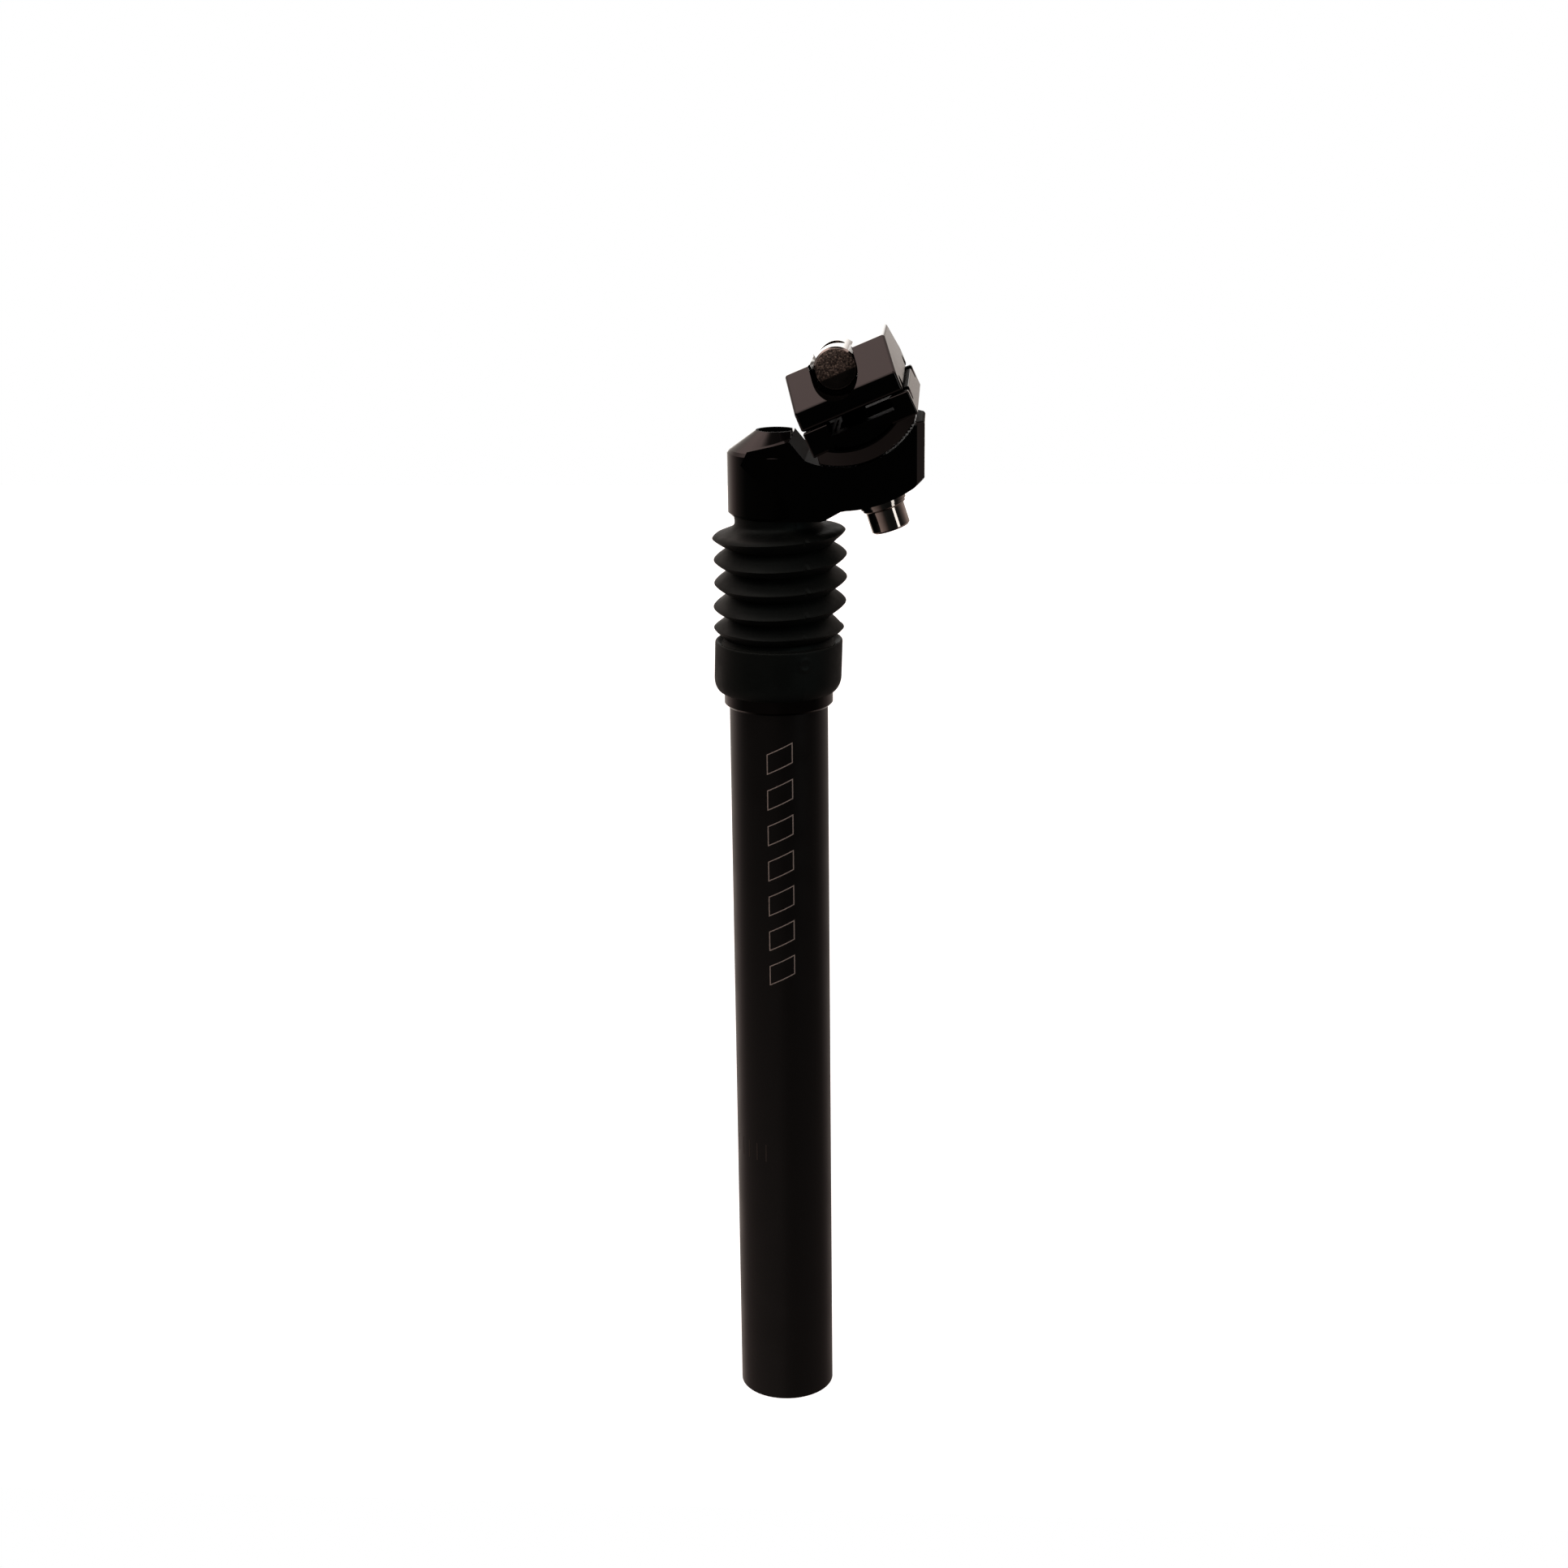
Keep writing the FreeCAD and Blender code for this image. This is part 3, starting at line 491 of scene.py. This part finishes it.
CUFF_BOTTOM = low("rubber_boot").z
NECK_TOP = high("rubber_boot").z
COLLAR_TOP = high("retaining_collar").z
CUFF_TOP = CUFF_BOTTOM + 14.2 * MM
FIRST_RIDGE = CUFF_TOP + 3.4 * MM
RIDGE_PITCH = 6.4 * MM
RIDGES = 5
RIDGE_RADIUS = high("rubber_boot").x
CUFF_RADIUS = 17.5 * MM
VALLEY_RADIUS = 14.0 * MM
NECK_RADIUS = 11.6 * MM
NECK_BOTTOM = NECK_TOP - 3.9 * MM
SHAFT_RADIUS = 10.4 * MM
BOOT_WALL = 1.25 * MM
MOULD_SEAM = math.radians(298.0)
GATE_HEIGHT = CUFF_BOTTOM + 10.5 * MM
COLLAR_RADIUS = 15.0 * MM
CUFF_CURVE_IN = 2.3 * MM
CUFF_CURVE_UP = 3.9 * MM
CUFF_LIP = 0.6 * MM
# The groove between cuff and first fold, as (in from the cuff, up from its top) in millimetres.
CUFF_GROOVE = ((1.2, -0.30), (1.9, -0.85), (2.3, -0.60), (2.7, 0.25))
# The flare from the top fold to the neck, as (radius, up from the fold's crest) in millimetres.
NECK_FLARE = ((17.70, 0.45), (17.15, 0.80), (16.2, 1.10), (15.0, 1.35), (13.9, 1.62), (13.0, 1.92),
              (12.35, 2.30), (11.9, 2.75), (11.68, 3.2))
FLASH = 0.15 * MM
REARWARD = 0.95 * MM
UPWARD = 0.5 * MM
SEAM_RAISE = 0.07 * MM
SEAM_NICK = 0.65 * MM
SEAM_WIDTH = 0.024
GATE_RADIUS = 1.5 * MM
GATE_RAISE = 0.26 * MM
GATE_WIDTH = 0.40 * MM
CUFF_LEAN = 0.25 * MM
# Slopes of the folds: towards the rear over all of them, more over the top ones, and towards the far side.
FOLDS_LEAN = 0.034
TOP_FOLDS_LEAN = 0.022
FOLDS_SAG = 0.060


def arc(middle, radius, start, end, steps):
    """Points on an arc, in degrees from +radius towards +height."""
    angles = [math.radians(start + (end - start) * step / steps) for step in range(steps + 1)]
    return [(middle[0] + radius * math.cos(a), middle[1] + radius * math.sin(a)) for a in angles]


def fold(height, crest, root, reach, softness=0.13):
    """The radius of a bellows fold: straight flanks, a rounded crest and a tight root."""
    away = min(abs(height) / reach, 1.0)
    fall = (math.hypot(away, softness) - softness) / (math.hypot(1.0, softness) - softness)
    return crest - (crest - root) * fall


def boot_profile():
    """The boot's section: cuff, five folds, neck, and back down inside."""
    outside = []
    for step in range(11):
        angle = math.radians(-90 + 9 * step)
        outside.append((CUFF_RADIUS - CUFF_CURVE_IN * (1.0 - math.cos(angle)),
                        CUFF_BOTTOM + CUFF_CURVE_UP * (1.0 + math.sin(angle))))
    outside += [(CUFF_RADIUS, CUFF_BOTTOM + (4.3 + step * 0.4) * MM) for step in range(23)]
    outside += arc((CUFF_RADIUS - CUFF_LIP, CUFF_TOP - CUFF_LIP), CUFF_LIP, 0, 100, 6)
    outside += [(CUFF_RADIUS - inwards * MM, CUFF_TOP + rise * MM) for inwards, rise in CUFF_GROOVE]
    steps = 14
    reach = RIDGE_PITCH / 2
    for ridge in range(RIDGES):
        middle = FIRST_RIDGE + ridge * RIDGE_PITCH
        crest = RIDGE_RADIUS - (0.35 * MM if ridge == 0 else 0.0)
        for step in range(-steps, steps + 1):
            height = reach * step / steps
            if ridge == 0 and height < -0.80 * reach:
                continue
            if ridge == RIDGES - 1 and height > 0:
                continue
            flash = FLASH if step == 0 else 0.0
            outside.append((fold(height, crest, VALLEY_RADIUS, reach) + flash, middle + height))
    crown = FIRST_RIDGE + (RIDGES - 1) * RIDGE_PITCH
    outside += [(radius * MM, crown + rise * MM) for radius, rise in NECK_FLARE]
    outside += [(NECK_RADIUS, NECK_TOP - 1.6 * MM), (NECK_RADIUS, NECK_TOP)]
    inside = [(SHAFT_RADIUS + 0.05 * MM, NECK_TOP), (SHAFT_RADIUS + 0.05 * MM, NECK_BOTTOM - 0.8 * MM)]
    for ridge in reversed(range(RIDGES)):
        middle = FIRST_RIDGE + ridge * RIDGE_PITCH
        for step in (6, 3, 0, -3, -6):
            height = reach * step / 6.0
            if ridge == RIDGES - 1 and step > 0:
                continue
            if step == -6 and ridge > 0:
                continue
            inside.append((fold(height, RIDGE_RADIUS, VALLEY_RADIUS, reach) - BOOT_WALL, middle + height))
    inside += [(13.9 * MM, COLLAR_TOP + 0.3 * MM), (15.05 * MM, COLLAR_TOP + 0.3 * MM),
               (15.05 * MM, CUFF_BOTTOM)]
    return outside + inside


def clamped(value):
    """A value kept between 0 and 1."""
    return min(max(value, 0.0), 1.0)


def boot_point(radius, height, turn):
    """The folds lean, sag and sit a little to the rear, as rubber does; a mould seam runs up one side."""
    share = clamped((height - FIRST_RIDGE) / (NECK_TOP - FIRST_RIDGE))
    swell = math.sin(math.pi * share)
    shift = REARWARD * swell ** 0.8 if share > 0 else 0.0
    held = min((1.0 - share) * 6.0, 1.0)
    lean = (FOLDS_LEAN * min(share * 5.0, 1.0) + TOP_FOLDS_LEAN * clamped((share - 0.6) * 4.5)) * held
    sag = FOLDS_SAG * min(share * 5.0, 1.0) * clamped((0.84 - share) * 5.0)
    outer = clamped((radius - 11.0 * MM) / (5.0 * MM))
    off_seam = turn - MOULD_SEAM
    nick = max(0.0, 1.0 - (RIDGE_RADIUS - radius) / (1.2 * MM)) if share > 0 else 0.0
    if height > NECK_BOTTOM + 1.2 * MM:
        nick = 0.35
    relief = 0.0
    if radius > 10.9 * MM:
        relief = (SEAM_RAISE - SEAM_NICK * nick) * math.exp(-(off_seam / SEAM_WIDTH) ** 2)
    if share <= 0:
        if radius > COLLAR_RADIUS + 1.4 * MM:
            from_gate = math.hypot(off_seam * CUFF_RADIUS, height - GATE_HEIGHT)
            relief += GATE_RAISE * math.exp(-((from_gate - GATE_RADIUS) / GATE_WIDTH) ** 2)
        wall = clamped((radius - COLLAR_RADIUS) / (1.5 * MM))
        shift = wall * CUFF_LEAN * (2.0 * (height - CUFF_BOTTOM) / (CUFF_TOP - CUFF_BOTTOM) - 1.0)
    x = (radius + relief) * math.cos(turn) + shift
    y = (radius + relief) * math.sin(turn)
    tip = outer * radius * (lean * math.cos(turn) + sag * math.sin(turn))
    return (x, y, height + UPWARD * swell + tip)


def make_boot(material):
    """The bellows, in place of its CAD solid."""
    boot = lathe("bellows_boot", boot_profile(), 300, material, boot_point)
    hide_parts("rubber_boot")
    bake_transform(boot)


SPRING_LOW = low("main_spring").z
SPRING_HIGH = high("main_spring").z
WIRE_RADIUS = 1.5 * MM
COIL_RADIUS = high("main_spring").x - WIRE_RADIUS
COILS = 18.0


def make_spring(material):
    """The coil spring, made in two halves."""
    lowest = SPRING_LOW + WIRE_RADIUS
    highest = SPRING_HIGH - WIRE_RADIUS
    middle = (lowest + highest) / 2
    halves = (("spring_lower_half", 0.0, 0.5, "preload_seat", "tube", lowest, middle),
              ("spring_upper_half", 0.5, 1.0, "tube", "shaft", middle, highest))
    rings, sides = 260, 12
    for name, begin, end, below, above, bottom, top in halves:
        points = []
        for ring in range(rings + 1):
            share = begin + (end - begin) * ring / rings
            turn = 2.0 * math.pi * COILS * share
            height = lowest + (highest - lowest) * share
            outwards = Vector((math.cos(turn), math.sin(turn), 0.0))
            for side in range(sides):
                angle = 2.0 * math.pi * side / sides
                spot = outwards * (COIL_RADIUS + WIRE_RADIUS * math.cos(angle))
                points.append((spot.x, spot.y, height + WIRE_RADIUS * math.sin(angle)))
        faces = [tuple(reversed(range(sides))), tuple(rings * sides + side for side in range(sides))]
        for ring in range(rings):
            for side in range(sides):
                beside = (side + 1) % sides
                faces.append((ring * sides + side, ring * sides + beside,
                              (ring + 1) * sides + beside, (ring + 1) * sides + side))
        half = add_mesh(name, points, faces, material, 60.0)
        if begin == 0.0:
            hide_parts("main_spring")
        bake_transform(half)


TUBE_RADIUS = high("outer_tube").x
MARK_RAISE = 0.02 * MM
MARK_LINE = 0.27 * MM


def wrapped(turn, height, raised):
    """A point on the tube: turn in degrees round from the front towards the camera's right."""
    angle = math.radians(turn)
    radius = TUBE_RADIUS + raised
    return (radius * math.sin(angle), -radius * math.cos(angle), height)


def inset(corners, width):
    """The corners of a polygon moved inwards by a line's width."""
    moved = []
    count = len(corners)
    for index in range(count):
        here = Vector(corners[index])
        before = (here - Vector(corners[index - 1])).normalized()
        after = (Vector(corners[(index + 1) % count]) - here).normalized()
        normal_before = Vector((-before.y, before.x))
        normal_after = Vector((-after.y, after.x))
        bisector = (normal_before + normal_after).normalized()
        moved.append(here + bisector * (width / bisector.dot(normal_before)))
    return moved


def marking(name, loops, material):
    """Thin raised bands on the tube; each loop is (outer, inner) corners in (turn, height)."""
    points = []
    faces = []
    steps = 6
    for outer, inner in loops:
        count = len(outer)
        for index in range(count):
            ends = [(outer[index], inner[index]), (outer[(index + 1) % count], inner[(index + 1) % count])]
            first = len(points)
            for step in range(steps + 1):
                share = step / steps
                for side in (0, 1):
                    start, end = ends[0][side], ends[1][side]
                    turn = start[0] + (end[0] - start[0]) * share
                    height = start[1] + (end[1] - start[1]) * share
                    points.append(wrapped(turn, height, MARK_RAISE))
                    points.append(wrapped(turn, height, -MARK_RAISE))
            for step in range(steps):
                a = first + step * 4
                b = a + 4
                faces += [(a, a + 2, b + 2, b), (a + 1, b + 1, b + 3, a + 3), (a, b, b + 1, a + 1),
                          (a + 2, a + 3, b + 3, b + 2)]
            last = first + steps * 4
            faces += [(first, first + 1, first + 3, first + 2), (last, last + 2, last + 3, last + 1)]
    mark = add_mesh(name, points, faces, material, 30.0)
    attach(mark, "tube")


def turn_loop(corners, width):
    """(outer, inner) loops in (turn, height) from flat corners in metres of arc and height."""
    inner = inset(corners, width)
    degrees = math.degrees(1.0 / TUBE_RADIUS)
    return [(u * degrees, v) for u, v in corners], [(point.x * degrees, point.y) for point in inner]


DARTS = 7
DARTS_BOTTOM = 130.8 * MM
DART_PITCH = 10.26 * MM
DARTS_LEFT = 1.0 * MM - 3.6 * MM
DARTS_RIGHT = 1.0 * MM + 3.6 * MM
# How far each dart's corners stand above its lowest one.
DART_LEFT_TOP = 5.8 * MM
DART_RIGHT_FOOT = 3.4 * MM
DART_RIGHT_TOP = 9.2 * MM


def make_graphic(material):
    """A column of plain outlined darts up the front of the tube."""
    loops = []
    for index in range(DARTS):
        foot = DARTS_BOTTOM + index * DART_PITCH
        corners = [(DARTS_LEFT, foot), (DARTS_RIGHT, foot + DART_RIGHT_FOOT),
                   (DARTS_RIGHT, foot + DART_RIGHT_TOP), (DARTS_LEFT, foot + DART_LEFT_TOP)]
        loops.append(turn_loop(corners, MARK_LINE))
    marking("tube_graphic", loops, material)


BARS = 5
BARS_BOTTOM = 76.3 * MM
BARS_TOP = 81.6 * MM
BAR_SPINE_BOTTOM = 77.0 * MM
BAR_SPINE_TOP = 80.9 * MM
# Places and widths round the tube, in degrees.
FIRST_BAR = -69.0
BAR_PITCH = 12.5
BAR_HALF_WIDTH = 0.9


def make_insertion_marks(material):
    """The row of short bars that shows how far the post has to go in; each is filled in to its spine."""
    loops = []
    for index in range(BARS):
        turn = FIRST_BAR + index * BAR_PITCH
        left, right = turn - BAR_HALF_WIDTH, turn + BAR_HALF_WIDTH
        corners = [(left, BARS_BOTTOM), (right, BARS_BOTTOM), (right, BARS_TOP), (left, BARS_TOP)]
        spine = [(turn, BAR_SPINE_BOTTOM)] * 2 + [(turn, BAR_SPINE_TOP)] * 2
        loops.append((corners, spine))
    marking("insertion_marks", loops, material)


# --- the scene ---

def dress_nodes(materials):
    """Give every CAD node the material of its slot, or its own where it has a finish or painted shade of its
    own.
    """
    own = {
        "barrel_nut": cross_nut_steel(),
        "clamp_bolt": bolt_steel(),
        "head": gloss_black_alloy("head_alloy", (0.39, 0.0, 0.92), 4.5 * MM, 5.25 * MM),
        "lower_clamp": gloss_black_alloy("lower_clamp_alloy", (-0.386, 0.0, 0.923)),
    }
    for name, thing in NODES.items():
        thing.data.materials.clear()
        thing.data.materials.append(own.get(name, materials[SLOTS[name]]))


bpy.context.scene.view_settings.view_transform = "Standard"
add_camera()
add_room()
add_table()
add_softbox("right_front", (0.80, -0.60, 0.45), (0.0, 0.0, 0.28), 0.25, 0.5, 0.55, (1.0, 0.97, 0.94))
slots = slot_materials()
dress_nodes(slots)
make_boot(slots["boot_rubber"])
make_spring(slots["spring_steel"])
make_graphic(etched_silver("etched_silver", (0.52, 0.50, 0.46), (0.78, 0.75, 0.70)))
make_insertion_marks(etched_silver("faint_etching", (0.035, 0.032, 0.029), (0.075, 0.069, 0.063)))
